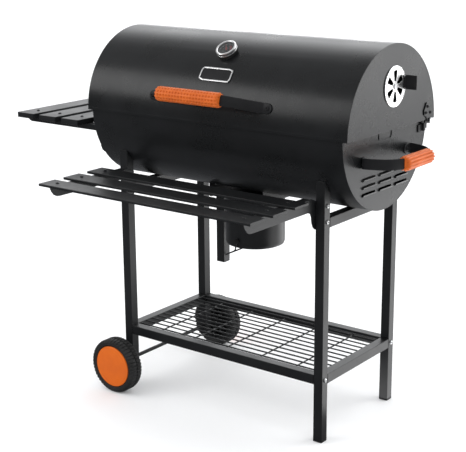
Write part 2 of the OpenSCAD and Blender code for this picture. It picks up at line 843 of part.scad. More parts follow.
// Turned pot with a flat rim that rides on the runners, and two ears for the bail
module ash_pot() {
  h = pot_top - pot_z;
  color(paint) in_frame()
  translate([0, body_y, 0]) {
    translate([0, 0, pot_z]) rotate_extrude()
      polygon([[0, 0], [pot_r - 8, 0], [pot_r - 2.4, 2.4], [pot_r, 8], [pot_r, h - 3], [pot_r + 5, h - 3], [pot_r + 5, h - 1],
        [pot_r - 1.5, h - 1], [pot_r - 1.5, 8.5], [pot_r - 3.5, 3.9], [pot_r - 8.5, 1.5], [0, 1.5]]);
    for (s = [-1, 1])
      rod_y(s > 0 ? pot_r - 1 : -pot_r - 9, s > 0 ? pot_r + 9 : -pot_r + 1, 0, bail_z, 2.6);
  }
}

// Bail hanging on the two ears: an arm down each side, then a bent strip that narrows to the finger end
module pot_bail() {
  y0 = pot_r + 5;
  b = bail_r;
  low = [-4, -26];
  tip = [-bail_len * cos(bail_ang), -bail_len * sin(bail_ang)];
  run = norm(tip - low);
  arm = [[-2.4, -4.4], [1.6, -4.4], [-2, -28], [-6, -28]];
  strip = [[-b, y0 + b], [run + b, 4 * b], [run + b, -4 * b], [-b, -y0 - b], [-b, -y0 + 1.5 * b],
    [run - b, -3 * b], [run - b, 3 * b], [-b, y0 - 1.5 * b]];
  color(dark) in_frame()
  translate([0, body_y, bail_z]) {
    for (s = [-1, 1])
      translate([0, s * y0, 0]) rotate([90, 0, 0]) {
        difference() {
          cylinder(h = 5, r = 6, center = true);
          cylinder(h = 6, r = 3, center = true);
        }
        linear_extrude(height = 2 * b - 0.4, center = true) polygon(arm);
      }
    translate([low[0], 0, low[1]]) rotate([0, atan2(low[1] - tip[1], tip[0] - low[0]), 0])
      linear_extrude(height = 2 * b, center = true) polygon(strip);
  }
}

leg_front_right();
leg_rear_right();
leg_front_left();
leg_rear_left();
foot_caps();
upper_rails();
shelf_rails_long();
shelf_rails_side();
shelf_wires();
frame_bolts();
axle();
axle_nuts();
axle_spacers();
body_shell();
body_end_right();
body_end_left();
spit_covers();
grate_ledges();
cook_grate_left();
cook_grate_right();
charcoal_tray();
pot_runners();
hanger_post();
end_strap();
end_grip();
end_bolts();
front_brackets();
front_slats();
front_screws();
side_brackets();
side_slats();
side_screws();
hinge_brackets();
hinge_pins();
lid_shell();
lid_end_right();
lid_end_left();
hinge_plates();
hinge_bolts();
lid_strap();
lid_grip_bar();
lid_bolts();
badge_plate();
thermo_housing();
thermo_bezel();
thermo_dial();
thermo_glass();
thermo_stem();
thermo_pointer();
damper_rivet();
damper_disc();
damper_tab();
tyre_front();
core_front();
cap_front();
tyre_rear();
core_rear();
cap_rear();
ash_pot();
pot_bail();
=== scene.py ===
import json
from math import cos, pi, radians, sin

import bmesh
import bpy
import numpy as np
from mathutils import Matrix, Vector


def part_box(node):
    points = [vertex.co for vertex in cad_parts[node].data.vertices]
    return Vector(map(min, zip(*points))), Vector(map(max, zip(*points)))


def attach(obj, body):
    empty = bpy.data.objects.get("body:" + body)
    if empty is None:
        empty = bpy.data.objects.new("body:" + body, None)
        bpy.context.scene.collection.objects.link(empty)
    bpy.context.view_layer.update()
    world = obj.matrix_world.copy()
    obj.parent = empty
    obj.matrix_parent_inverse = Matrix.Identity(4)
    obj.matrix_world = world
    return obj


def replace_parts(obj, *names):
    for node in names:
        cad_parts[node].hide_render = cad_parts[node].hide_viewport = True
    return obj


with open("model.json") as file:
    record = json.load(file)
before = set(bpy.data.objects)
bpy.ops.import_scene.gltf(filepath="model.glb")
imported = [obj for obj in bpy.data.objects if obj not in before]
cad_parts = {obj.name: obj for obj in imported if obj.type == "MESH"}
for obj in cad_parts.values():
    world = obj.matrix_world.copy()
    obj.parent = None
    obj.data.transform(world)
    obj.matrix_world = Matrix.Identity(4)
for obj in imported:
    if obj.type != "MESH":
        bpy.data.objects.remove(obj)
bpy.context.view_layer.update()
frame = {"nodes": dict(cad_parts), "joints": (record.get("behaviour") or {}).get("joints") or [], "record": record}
nodes = frame["nodes"]
print("frame loaded:", len(nodes), "nodes")

# small helpers for node trees


def put(tree, kind, settings=None, **sockets):
    # one node; a socket given as an output is linked, anything else is its value
    made = tree.nodes.new(kind)
    for key, value in (settings or {}).items():
        setattr(made, key, value)
    for key, value in sockets.items():
        at = int(key[1:]) if key[0] == "i" and key[1:].isdigit() else key.replace("_", " ")
        if isinstance(value, bpy.types.NodeSocket):
            tree.links.new(value, made.inputs[at])
        else:
            made.inputs[at].default_value = value
    return made


def calc(tree, how, a, b=0.0):
    return put(tree, "ShaderNodeMath", {"operation": how}, i0=a, i1=b).outputs[0]


def product(tree, a, b):
    return calc(tree, "MULTIPLY", a, b)


def blendColour(tree, factor, a, b):
    made = put(tree, "ShaderNodeMix", {"data_type": "RGBA"}, i0=factor, i6=a, i7=b)
    return made.outputs[2]


def rangeOf(tree, value, low, high, toLow=0.0, toHigh=1.0, smooth=False):
    # value carried from low..high to toLow..toHigh, held at both ends
    how = {"interpolation_type": "SMOOTHSTEP" if smooth else "LINEAR"}
    return put(tree, "ShaderNodeMapRange", how, i0=value, i1=low, i2=high, i3=toLow, i4=toHigh).outputs[0]


def ownPlace(tree):
    return put(tree, "ShaderNodeTexCoord").outputs["Object"]


def noise(tree, place, scale, detail, **more):
    return put(tree, "ShaderNodeTexNoise", Vector=place, Scale=scale, Detail=detail, **more).outputs[0]


def newGroup(name, ins, outs):
    tree = bpy.data.node_groups.new(name, "ShaderNodeTree")
    for label, value in ins:
        kind = "NodeSocketVector" if isinstance(value, tuple) else "NodeSocketFloat"
        tree.interface.new_socket(label, in_out="INPUT", socket_type=kind).default_value = value
    for label, kind in outs:
        tree.interface.new_socket(label, in_out="OUTPUT", socket_type="NodeSocket" + kind)
    return tree, tree.nodes.new("NodeGroupInput"), tree.nodes.new("NodeGroupOutput")


# surface grain: fine height, broad patches and sparse specks

grainValues = {"patchFrom": 0.35, "patchTo": 0.65, "speckScale": 260.0, "speckFrom": 0.66, "speckTo": 0.74}
grainGroup, gIn, gOut = newGroup(
    "surfaceGrain",
    [("Stretch", (1.0, 1.0, 1.0)), ("Fine", 700.0), ("Broad", 9.0)],
    [("Height", "Float"), ("Patches", "Float"), ("Speckle", "Float")],
)
where = ownPlace(grainGroup)
times = {"operation": "MULTIPLY"}
pulled = put(grainGroup, "ShaderNodeVectorMath", times, i0=where, i1=gIn.outputs["Stretch"]).outputs[0]
fineNoise = noise(grainGroup, pulled, gIn.outputs["Fine"], 2.0)
broadNoise = noise(grainGroup, where, gIn.outputs["Broad"], 5.0, Roughness=0.6)
speckNoise = noise(grainGroup, where, grainValues["speckScale"], 1.0)
patches = rangeOf(grainGroup, broadNoise, grainValues["patchFrom"], grainValues["patchTo"], smooth=True)
specks = rangeOf(grainGroup, speckNoise, grainValues["speckFrom"], grainValues["speckTo"], smooth=True)
grainGroup.links.new(fineNoise, gOut.inputs["Height"])
grainGroup.links.new(patches, gOut.inputs["Patches"])
grainGroup.links.new(specks, gOut.inputs["Speckle"])

# edges: a softened normal, and a mask where it turns away from the true one, broken up by noise

edgeValues = {"samples": 4, "flatAt": 0.985, "sharpAt": 0.86, "patchScale": 45.0}
edgeGroup, eIn, eOut = newGroup(
    "edgeTouch",
    [("Radius", 0.0015), ("Patchiness", 0.5)],
    [("Normal", "Vector"), ("Edge", "Float")],
)
bevelled = {"samples": edgeValues["samples"]}
softNormal = put(edgeGroup, "ShaderNodeBevel", bevelled, Radius=eIn.outputs["Radius"]).outputs[0]
flatNormal = put(edgeGroup, "ShaderNodeNewGeometry").outputs["Normal"]
facing = put(edgeGroup, "ShaderNodeVectorMath", {"operation": "DOT_PRODUCT"}, i0=softNormal, i1=flatNormal)
sharp = rangeOf(edgeGroup, facing.outputs["Value"], edgeValues["flatAt"], edgeValues["sharpAt"], smooth=True)
broken = rangeOf(edgeGroup, noise(edgeGroup, ownPlace(edgeGroup), edgeValues["patchScale"], 4.0), 0.3, 0.7)
kept = calc(edgeGroup, "SUBTRACT", 1.0, product(edgeGroup, broken, eIn.outputs["Patchiness"]))
edgeGroup.links.new(softNormal, eOut.inputs["Normal"])
edgeGroup.links.new(product(edgeGroup, sharp, kept), eOut.inputs["Edge"])

# dust: lies on faces that look up, drifting thicker and thinner

dustValues = {
    "liesFrom": 0.2, "cloudScale": 14.0, "cloudFrom": 0.4, "cloudTo": 0.7, "thin": 0.15, "roughens": 0.5,
}
dustGroup, dIn, dOut = newGroup("dustFilm", [("Amount", 0.1)], [("Dust", "Float")])
normal = put(dustGroup, "ShaderNodeNewGeometry").outputs["Normal"]
upward = put(dustGroup, "ShaderNodeSeparateXYZ", Vector=normal).outputs[2]
lying = rangeOf(dustGroup, upward, dustValues["liesFrom"], 1.0, smooth=True)
cloud = noise(dustGroup, ownPlace(dustGroup), dustValues["cloudScale"], 6.0)
drift = rangeOf(dustGroup, cloud, dustValues["cloudFrom"], dustValues["cloudTo"], dustValues["thin"], 1.0)
lain = product(dustGroup, lying, drift)
dustGroup.links.new(product(dustGroup, lain, dIn.outputs["Amount"]), dOut.inputs["Dust"])


def grey(v, blue=None):
    return (v, v, v if blue is None else blue, 1.0)


def startMaterial(name):
    made = bpy.data.materials.new(name)
    made.use_nodes = True
    return made, made.node_tree, made.node_tree.nodes["Principled BSDF"]


def finish(name, look):
    # one surface finish: grain and patches in colour and roughness, rubbed edges, dust on top
    made, tree, shader = startMaterial(name)
    grain = put(tree, "ShaderNodeGroup", {"node_tree": grainGroup}, Stretch=look.get("stretch", (1, 1, 1)),
                Fine=look.get("fine", 700.0), Broad=look.get("broad", 9.0))
    edge = put(tree, "ShaderNodeGroup", {"node_tree": edgeGroup}, Radius=look.get("edgeRadius", 0.0012),
               Patchiness=0.5)
    dust = put(tree, "ShaderNodeGroup", {"node_tree": dustGroup}, Amount=look.get("dust", 0.05))
    colour = blendColour(tree, grain.outputs["Patches"], look["colour"], look["colourTwo"])
    speck = product(tree, grain.outputs["Speckle"], look.get("speckle", 0.1))
    colour = blendColour(tree, speck, colour, look.get("speckColour", look["colourTwo"]))
    rubbed = product(tree, edge.outputs["Edge"], look.get("edgeAmount", 0.25))
    colour = blendColour(tree, rubbed, colour, look["edgeColour"])
    colour = blendColour(tree, dust.outputs["Dust"], colour, (0.42, 0.41, 0.39, 1))
    tree.links.new(colour, shader.inputs["Base Color"])
    low, high = look["roughness"]
    rough = rangeOf(tree, grain.outputs["Patches"], 0.0, 1.0, low, high)
    rough = calc(tree, "ADD", rough, product(tree, dust.outputs["Dust"], dustValues["roughens"]))
    tree.links.new(rough, shader.inputs["Roughness"])
    bump = put(tree, "ShaderNodeBump", Strength=look.get("bump", 0.25), Distance=0.0002,
               Height=grain.outputs["Height"], Normal=edge.outputs["Normal"])
    tree.links.new(bump.outputs[0], shader.inputs["Normal"])
    shader.inputs["Metallic"].default_value = look.get("metallic", 0.0)
    shader.inputs["Specular IOR Level"].default_value = look.get("specular", 0.5)
    made.diffuse_color = look["colour"]
    return made


# the finishes, one look for each slot

looks = {
    "barrel_paint": dict(
        colour=(0.0052, 0.0056, 0.0060, 1), colourTwo=(0.0072, 0.0076, 0.0084, 1), roughness=(0.26, 0.32),
        specular=0.30, fine=900.0, bump=0.18, edgeColour=grey(0.05), edgeAmount=0.1,
        dust=0.004, speckle=0.05, speckColour=grey(0.012)),
    "frame_paint": dict(
        colour=(0.0062, 0.0066, 0.0073, 1), colourTwo=(0.0085, 0.0090, 0.0098, 1), roughness=(0.34, 0.42),
        specular=0.30, fine=900.0, bump=0.18, edgeColour=grey(0.09), edgeAmount=0.35,
        dust=0.006, speckle=0.08, speckColour=grey(0.014)),
    "black_steel": dict(
        colour=grey(0.011, 0.012), colourTwo=grey(0.016, 0.017), roughness=(0.38, 0.5),
        specular=0.16, bump=0.2, edgeColour=grey(0.07), dust=0.01),
    "zinc_steel": dict(
        colour=(0.62, 0.62, 0.61, 1), colourTwo=(0.52, 0.53, 0.54, 1), roughness=(0.26, 0.4), metallic=1.0,
        stretch=(1, 1, 6), fine=320.0, broad=40.0, bump=0.1, edgeColour=grey(0.85), dust=0.03),
    "bright_chrome": dict(
        colour=grey(0.86), colourTwo=grey(0.8), roughness=(0.24, 0.34), metallic=1.0,
        fine=500.0, broad=60.0, bump=0.05, edgeColour=grey(0.95), dust=0.02),
    "grip_orange": dict(
        colour=(0.55, 0.112, 0.014, 1), colourTwo=(0.49, 0.094, 0.011, 1), roughness=(0.42, 0.55),
        specular=0.2, fine=520.0, broad=30.0, bump=0.3, edgeColour=(0.70, 0.20, 0.05, 1), edgeRadius=0.0008,
        dust=0.02, speckle=0.12, speckColour=(0.45, 0.08, 0.015, 1)),
    "disc_orange": dict(
        colour=(0.58, 0.113, 0.007, 1), colourTwo=(0.54, 0.100, 0.006, 1), roughness=(0.30, 0.38),
        specular=0.22, fine=400.0, broad=22.0, bump=0.12, edgeColour=(0.8, 0.26, 0.07, 1), dust=0.012),
    "black_plastic": dict(
        colour=grey(0.012, 0.013), colourTwo=grey(0.017), roughness=(0.42, 0.55),
        specular=0.16, fine=1100.0, broad=30.0, bump=0.35, edgeColour=grey(0.04), dust=0.015),
    "tread_rubber": dict(
        colour=grey(0.012), colourTwo=grey(0.019), roughness=(0.6, 0.78),
        specular=0.3, fine=600.0, broad=25.0, bump=0.5, edgeColour=grey(0.04), edgeAmount=0.5,
        dust=0.08, speckle=0.2, speckColour=grey(0.04)),
    "grate_iron": dict(
        colour=grey(0.035), colourTwo=grey(0.05, 0.048), roughness=(0.5, 0.7), metallic=0.4,
        fine=420.0, broad=20.0, bump=0.6, edgeColour=grey(0.12), dust=0.03),
    "pointer_red": dict(
        colour=(0.45, 0.02, 0.015, 1), colourTwo=(0.38, 0.018, 0.012, 1), roughness=(0.35, 0.45),
        bump=0.05, edgeColour=(0.6, 0.08, 0.06, 1), dust=0.0),
}
finishes = {name: finish(name, look) for name, look in looks.items()}

dialMarks = {
    "smallTicks": (60, 0.12), "smallRing": (0.80, 0.92),  # ticks: how many, half the width over the spacing
    "largeTicks": (12, 0.05), "largeRing": (0.70, 0.92),  # rings: inner and outer share of the dial's radius
    "hotRing": (0.40, 0.66), "hotMiddle": 0.55, "hotHalf": 0.75,  # angles in radians from the dial's right
    "gapHalf": 0.72,
}


def dialFace(name, centre, tilt, radius):
    # printed dial: ring of ticks and a red arc, drawn from the angle and distance about the dial's centre
    made, tree, shader = startMaterial(name)
    turned = put(tree, "ShaderNodeMapping", {"vector_type": "TEXTURE"}, Vector=ownPlace(tree),
                 Location=centre, Rotation=(pi / 2 - tilt, 0, 0))
    axes = put(tree, "ShaderNodeSeparateXYZ", Vector=turned.outputs[0])
    x, y = axes.outputs[0], axes.outputs[1]
    squares = calc(tree, "ADD", product(tree, x, x), product(tree, y, y))
    away = calc(tree, "DIVIDE", calc(tree, "SQRT", squares), radius)
    angle = calc(tree, "ARCTAN2", y, x)

    def ring(inner, outer):
        return product(tree, calc(tree, "GREATER_THAN", away, inner), calc(tree, "LESS_THAN", away, outer))

    def offFrom(value, centreValue):
        return calc(tree, "ABSOLUTE", calc(tree, "SUBTRACT", value, centreValue))

    def ticks(count, half):
        # share of the way from one tick to the next; a tick lies about each half way
        turn = calc(tree, "FRACT", calc(tree, "ADD", product(tree, angle, count / (2 * pi)), 0.5))
        return calc(tree, "LESS_THAN", offFrom(turn, 0.5), half)

    clearOfGap = calc(tree, "GREATER_THAN", offFrom(angle, -pi / 2), dialMarks["gapHalf"])
    small = product(tree, ring(*dialMarks["smallRing"]), ticks(*dialMarks["smallTicks"]))
    large = product(tree, ring(*dialMarks["largeRing"]), ticks(*dialMarks["largeTicks"]))
    marks = product(tree, calc(tree, "MAXIMUM", small, large), clearOfGap)
    inArc = calc(tree, "LESS_THAN", offFrom(angle, dialMarks["hotMiddle"]), dialMarks["hotHalf"])
    hot = product(tree, ring(*dialMarks["hotRing"]), inArc)
    grain = put(tree, "ShaderNodeGroup", {"node_tree": grainGroup}, Fine=1500.0, Broad=80.0)
    ground = blendColour(tree, grain.outputs["Patches"], grey(0.010), grey(0.016))
    colour = blendColour(tree, hot, ground, (0.24, 0.012, 0.018, 1))
    colour = blendColour(tree, marks, colour, grey(0.55))
    tree.links.new(colour, shader.inputs["Base Color"])
    tree.links.new(rangeOf(tree, grain.outputs["Patches"], 0, 1, 0.4, 0.5), shader.inputs["Roughness"])
    return made


def clearGlass(name):
    made, tree, shader = startMaterial(name)
    grain = put(tree, "ShaderNodeGroup", {"node_tree": grainGroup}, Fine=300.0, Broad=70.0)
    tone = blendColour(tree, grain.outputs["Patches"], (0.95, 0.97, 0.97, 1), (0.9, 0.93, 0.94, 1))
    tree.links.new(tone, shader.inputs["Base Color"])
    tree.links.new(rangeOf(tree, grain.outputs["Patches"], 0, 1, 0.02, 0.06), shader.inputs["Roughness"])
    shader.inputs["Transmission Weight"].default_value = 1.0
    shader.inputs["IOR"].default_value = 1.45
    return made


# where things are, from the CAD


def middle(name):
    low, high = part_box(name)
    return (low + high) / 2


lidLow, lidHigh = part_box("lid_shell")
lidRadius = (lidHigh.y - lidLow.y) / 2
lidAxis = Vector(((lidLow.x + lidHigh.x) / 2, (lidLow.y + lidHigh.y) / 2, lidHigh.z - lidRadius))


def onLid(tilt):
    # local z points straight out of the lid, local x runs along it; tilt is measured up from the front
    t = radians(tilt)
    turn = Matrix(((1, 0, 0), (0, sin(t), -cos(t)), (0, cos(t), sin(t)))).to_4x4()
    return Matrix.Translation(lidAxis) @ turn


# meshes worked out as whole arrays

creaseAngle = radians(38)


def asMesh(name, points, faces, body, slotName, join=1e-6):
    # points as rows of x, y, z; doubles are merged and the faces turned outwards
    mesh = bpy.data.meshes.new(name)
    mesh.vertices.add(len(points))
    mesh.vertices.foreach_set("co", np.asarray(points, np.float32).ravel())
    mesh.loops.add(faces.size)
    mesh.loops.foreach_set("vertex_index", faces.astype(np.int32).ravel())
    mesh.polygons.add(len(faces))
    mesh.polygons.foreach_set("loop_start", np.arange(0, faces.size, faces.shape[1], dtype=np.int32))
    mesh.update(calc_edges=True)
    mesh.validate()
    work = bmesh.new()
    work.from_mesh(mesh)
    bmesh.ops.remove_doubles(work, verts=work.verts, dist=join)
    bmesh.ops.dissolve_degenerate(work, edges=work.edges, dist=join / 10)
    bmesh.ops.recalc_face_normals(work, faces=work.faces)
    work.to_mesh(mesh)
    work.free()
    mesh.shade_smooth()
    mesh.set_sharp_from_angle(angle=creaseAngle)
    piece = bpy.data.objects.new(name, mesh)
    bpy.context.scene.collection.objects.link(piece)
    mesh.materials.append(finishes[slotName])
    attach(piece, body)
    return piece


def gridFaces(rows, cols, wrapRows=False, wrapCols=True):
    # quads between neighbours of a rows x cols grid of points
    r = np.arange(rows if wrapRows else rows - 1)[:, None]
    c = np.arange(cols if wrapCols else cols - 1)[None, :]
    r2, c2 = (r + 1) % rows, (c + 1) % cols
    quads = np.stack([r * cols + c, r * cols + c2, r2 * cols + c2, r2 * cols + c], -1)
    return quads.reshape(-1, 4)


def moved(points, matrix):
    # every point turned and then shifted by the matrix
    m = np.array(matrix)
    return points @ m[:3, :3].T + m[:3, 3]


def revolved(profile, count, matrix, radiusChange=None):
    # each profile point (radius, height) turned once round local z
    # radiusChange(angle, row) is added to the radius
    profile = np.asarray(profile, float)
    a = np.arange(count) * 2 * pi / count
    r = profile[:, :1] + np.zeros(count)
    if radiusChange is not None:
        r = r + radiusChange(a[None, :], np.arange(len(profile)))
    grid = np.stack([r * np.cos(a), r * np.sin(a), np.broadcast_to(profile[:, 1:], r.shape)], -1)
    return moved(grid.reshape(-1, 3), matrix), gridFaces(len(profile), count)


def rounded(points, times):
    # corners of a path cut again and again at a quarter and three quarters of each leg, ends kept
    p = np.asarray(points, float)
    for _ in range(times):
        near, far = 0.75 * p[:-1] + 0.25 * p[1:], 0.25 * p[:-1] + 0.75 * p[1:]
        p = np.concatenate([p[:1], np.stack([near, far], 1).reshape(-1, p.shape[1]), p[-1:]])
    return p


def roundRect(width, thick, radius, corner):
    # outline of a rounded rectangle: quarter circles about the four inset corners
    a = np.linspace(0, pi / 2, corner)
    parts = []
    for turn, (sx, sy) in enumerate([(1, 1), (-1, 1), (-1, -1), (1, -1)]):
        centre = np.array([sx * (width / 2 - radius), sy * (thick / 2 - radius)])
        parts.append(centre + radius * np.stack([np.cos(a + turn * pi / 2), np.sin(a + turn * pi / 2)], 1))
    return np.concatenate(parts)


def swept(path, section, side, scale=None, closed=False):
    # the section's first axis lies along side, its second across the path
    # scale shrinks the first axis along the way
    path = np.asarray(path, float)
    ahead = np.roll(path, -1, 0) - np.roll(path, 1, 0)
    if not closed:
        ahead[0], ahead[-1] = path[1] - path[0], path[-1] - path[-2]
    ahead /= np.linalg.norm(ahead, axis=1)[:, None]
    side = np.asarray(side, float) - (ahead @ np.asarray(side, float))[:, None] * ahead
    side /= np.linalg.norm(side, axis=1)[:, None]
    across = np.cross(ahead, side)
    scale = np.ones(len(path)) if scale is None else scale
    u = section[None, :, :1] * scale[:, None, None]
    grid = path[:, None] + u * side[:, None] + section[None, :, 1:] * across[:, None]
    rows, cols = grid.shape[:2]
    points, faces = grid.reshape(-1, 3), gridFaces(rows, cols, wrapRows=closed)
    if not closed:  # both ends closed by a fan of quads to the middle
        for row in (0, rows - 1):
            points = np.concatenate([points, path[row:row + 1]])
            ring = row * cols + np.arange(cols)
            hub = np.full(cols, len(points) - 1)
            faces = np.concatenate([faces, np.stack([ring, np.roll(ring, -1), hub, hub], 1)])
    return points, faces


def triangulated(faces):
    # each quad cut from its first corner to its third
    return np.concatenate([faces[:, [0, 1, 2]], faces[:, [0, 2, 3]]])


def joined(parts):
    # several sets of points and faces as one, the faces counted on from set to set
    points, faces, start = [], [], 0
    for p, f in parts:
        points.append(p)
        faces.append(f + start)
        start += len(p)
    return np.concatenate(points), np.concatenate(faces)


# wheels

wheel = {
    "rimRadius": 0.058, "lugs": 46, "steps": 10, "lugDepth": 0.0026, "lugHalf": 0.30, "lugFlank": 0.07,
    "lugSlant": 6, "treadFrom": 0.008, "treadFade": 0.004,
}
cover = {"radius": 0.0568, "sides": 96, "domeShare": 0.9, "domeRise": 0.07}


def placeFor(name, outward):
    # local z along the axle, pointing outwards
    turn = Matrix(((1, 0, 0), (0, 0, outward), (0, -outward, 0))).to_4x4()
    return Matrix.Translation(middle(name)) @ turn


def tyre(name, node, body, outward):
    # carcass profile turned round the axle; the tread sinks between the lugs, its two halves half a lug apart
    low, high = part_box(node)
    radius, half = (high.z - low.z) / 2, (high.y - low.y) / 2
    rim = wheel["rimRadius"]
    right = [  # bead, groove in the side wall, shoulder, tread, groove round the middle
        (rim, 0.0), (rim, 0.55 * half), (rim + 0.0006, half - 0.003), (rim + 0.003, half - 0.0006),
        (rim + 0.005, half - 0.0002), (rim + 0.0056, half - 0.0012), (rim + 0.0064, half - 0.0012),
        (rim + 0.007, half - 0.0002), (radius - 0.0075, half), (radius - 0.0056, half - 0.0004),
        (radius - 0.0034, half - 0.0016), (radius - 0.0018, half - 0.0034), (radius - 0.0006, half - 0.006),
        (radius, half - 0.009), (radius, 0.55 * half), (radius, 0.003), (radius - 0.0006, 0.0018),
        (radius - 0.0026, 0.0014), (radius - 0.0028, 0.0),
    ]
    profile = np.array(right + [(r, -z) for r, z in right[-2::-1]][:-1])
    innerEdge = radius - wheel["treadFrom"]
    depth = np.clip((profile[:, 0] - innerEdge) / wheel["treadFade"], 0, 1)[:, None]
    upper = (profile[:, 1] > 0)[:, None]

    def sink(angle, row):
        # share of the turn from lug to lug, slanted towards the shoulder; deep where it is far from a lug
        slant = wheel["lugSlant"] * np.abs(profile[row, 1])[:, None]
        turn = (angle * wheel["lugs"] / (2 * pi) + 0.5 * upper[row] + slant) % 1
        gap = np.clip((np.abs(turn - 0.5) - wheel["lugHalf"]) / wheel["lugFlank"], 0, 1)
        return -wheel["lugDepth"] * gap * depth[row]

    count = wheel["lugs"] * wheel["steps"]
    points, _ = revolved(profile, count, placeFor(node, outward), sink)
    faces = gridFaces(len(profile), count, wrapRows=True)
    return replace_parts(asMesh(name, points, faces, body, "tread_rubber"), node)


def disc(name, node, body, outward):
    # shallow dome, its height falling with the square of the distance, inside a rolled edge with a faint step
    low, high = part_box(node)
    r, depth, rise = cover["radius"], high.y - low.y, cover["domeRise"]
    t = np.linspace(0, 1, 14)
    dome = [(r * cover["domeShare"] * (1 - s), depth * (1 - rise * (1 - s) ** 2)) for s in t]
    edge = [
        (r * 0.86, 0.0), (r, 0.0), (r, depth * 0.35), (r - 0.0006, depth * 0.62),
        (r - 0.0018, depth * 0.82), (r - 0.0034, depth * 0.9),
        (r * 0.925, depth * 0.9), (r * 0.915, depth * 0.86), (r * 0.905, depth * 0.88),
    ]
    place = placeFor(node, outward)
    seat = low.y if outward > 0 else high.y
    place.translation = Vector((middle(node).x, seat, middle(node).z))
    points, faces = revolved([(0.0, 0.0)] + edge + dome, cover["sides"], place)
    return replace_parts(asMesh(name, points, faces, body, "disc_orange"), node)


for end, outward in (("front", -1), ("rear", 1)):
    tyre("tyre" + end.title(), "tyre_" + end, "wheel_" + end, outward)
    disc("wheelDisc" + end.title(), "cap_" + end, "wheel_" + end, outward)
print("wheels made")

# grips: a dimpled one on the lid, a fluted one on the end handle

grips = {
    "radius": 0.018, "endRound": 0.0045, "endWall": 0.0065, "endSlope": 0.0005, "endFloor": 0.0030,
    "dimpleDepth": 0.0032, "dimpleSize": 0.0025, "dimplesAround": 12, "dimplePitch": 0.0092,
    "flutes": 13, "fluteDepth": 0.0032, "lidGrid": (230, 144), "endGrid": (24, 168),
}


def gripShape(half, matrix, grid, change):
    # cylinder along local z with rounded, hollowed ends; change(height, angle) is taken off the radius
    rows, cols = grid
    lipHigh, floor = grips["endRound"], grips["endFloor"]
    z = np.linspace(-half + lipHigh, half - lipHigh, rows)
    a = np.arange(cols) * 2 * pi / cols
    bend = np.linspace(0, pi / 2, 6)
    r = grips["radius"]
    hollow = r - grips["endWall"]
    body = r - change(z[:, None], a[None, :])
    lip = np.stack([r - lipHigh * (1 - np.cos(bend)), lipHigh * np.sin(bend)], 1)
    inner = np.array([[hollow, lipHigh], [hollow - grips["endSlope"], floor], [0.0, floor]])
    cap = np.concatenate([lip, inner])
    first = body[:1] - r + cap[::-1, :1] * np.ones(cols)
    last = body[-1:] - r + cap[:, :1] * np.ones(cols)
    first[0], last[-1] = 0.0, 0.0
    radius = np.concatenate([first, body, last])
    height = np.concatenate([z[0] - cap[::-1, 1], z, z[-1] + cap[:, 1]])
    tall = np.broadcast_to(height[:, None], radius.shape)
    points = np.stack([radius * np.cos(a), radius * np.sin(a), tall], -1).reshape(-1, 3)
    return moved(points, matrix), gridFaces(len(height), cols)


def dimples(z, a):
    # round pits on a regular grid: depth falls off as a bell about each grid point
    pitch = grips["dimplePitch"]
    dz = (z / pitch + 0.5) % 1 - 0.5
    da = (a * grips["dimplesAround"] / (2 * pi) + 0.5) % 1 - 0.5
    arc = 2 * pi * grips["radius"] / grips["dimplesAround"]
    far = ((dz * pitch) ** 2 + (da * arc) ** 2) / grips["dimpleSize"] ** 2
    return grips["dimpleDepth"] * np.exp(-far * far)


def flutes(z, a):
    # long grooves: the radius dips where a cosine round the grip is low
    wave = np.clip(0.5 - 0.5 * np.cos(a * grips["flutes"]), 0, 1) ** 2
    return grips["fluteDepth"] * wave + 0 * z


alongX = Matrix(((0, 0, 1), (0, 1, 0), (-1, 0, 0))).to_4x4()
alongY = Matrix(((1, 0, 0), (0, 0, 1), (0, -1, 0))).to_4x4()
low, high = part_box("lid_grip_bar")
lidPlace = Matrix.Translation(middle("lid_grip_bar")) @ alongX
lidGrip = gripShape((high.x - low.x) / 2, lidPlace, grips["lidGrid"], dimples)
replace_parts(asMesh("lidGrip", *lidGrip, "lid", "grip_orange"), "lid_grip_bar")
low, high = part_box("end_grip")
endHalf = (high.y - low.y) / 2
endPlace = Matrix.Translation(middle("end_grip")) @ alongY
endGrip = gripShape(endHalf, endPlace, grips["endGrid"], flutes)
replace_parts(asMesh("endGrip", *endGrip, "trolley", "grip_orange"), "end_grip")
print("grips made")

# bowed straps that carry the grips

strap = {
    "width": 0.026, "thick": 0.003, "corner": 0.0011, "gap": 0.0003, "tilt": 16, "foot": 0.188,
    "bendFrom": 0.166, "bendTo": 0.094, "steps": 121,
}


def tapered(distance, width):
    # half-round end: the width follows a circle over the last half width
    s = np.clip(distance / (width / 2), 0.02, 1)
    return np.sqrt(1 - (1 - s) ** 2)


def strapPiece(name, node, body, path, side, toEnd):
    # flat section carried along the path, narrowed towards the two ends
    section = roundRect(strap["width"], strap["thick"], strap["corner"], 3)
    points, faces = swept(path, section, side, tapered(toEnd, strap["width"]))
    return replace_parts(asMesh(name, points, triangulated(faces), body, "black_steel"), node)


# lid strap: lies on the skin at its feet and rises to the grip along a smooth step
rise = (middle("lid_grip_bar") - lidAxis).length
skin = lidRadius + strap["gap"] + strap["thick"] / 2
x = strap["foot"] * np.sin(np.linspace(-pi / 2, pi / 2, strap["steps"]))
ease = np.clip((strap["bendFrom"] - np.abs(x)) / (strap["bendFrom"] - strap["bendTo"]), 0, 1)
out = skin + (rise - skin) * (3 * ease ** 2 - 2 * ease ** 3)
lidPath = moved(np.stack([x, 0 * x, out], 1), onLid(strap["tilt"]))
roundLid = np.array(onLid(strap["tilt"]))[:3, 1]
strapPiece("lidStrap", "lid_strap", "lid", lidPath, roundLid, strap["foot"] - np.abs(x))

